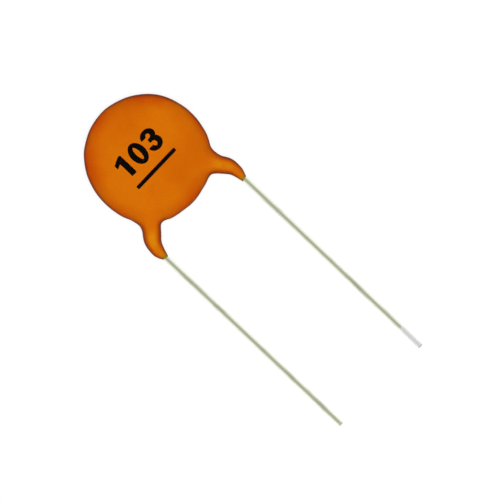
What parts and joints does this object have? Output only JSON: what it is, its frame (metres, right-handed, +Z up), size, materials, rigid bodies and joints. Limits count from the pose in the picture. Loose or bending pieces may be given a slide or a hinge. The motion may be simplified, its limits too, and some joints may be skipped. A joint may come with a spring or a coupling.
{
  "type": "ceramic disc capacitor",
  "caption": "Dipped ceramic disc capacitor: a round crowned coating over a flat disc, with straight parallel wire leads that leave one edge through bent, tapering necks.",
  "frame": {"origin": "centre of the part's outline, on the surface that it lies on", "axes": "+Z up out of the marked face, leads towards -Y, +X to the right when the mark is read"},
  "size_m": [0.0116, 0.035, 0.0029],
  "materials": {
    "coat": "satin",
    "ceramic": "matte",
    "electrode": "satin",
    "solder": "satin",
    "wire": "satin"
  },
  "bodies": {
    "root": {"coating": "coat", "ceramic_disc": "ceramic", "front_electrode": "electrode", "rear_electrode": "electrode", "front_solder": "solder", "rear_solder": "solder", "left_lead": "wire", "right_lead": "wire"}
  },
  "joints": []
}
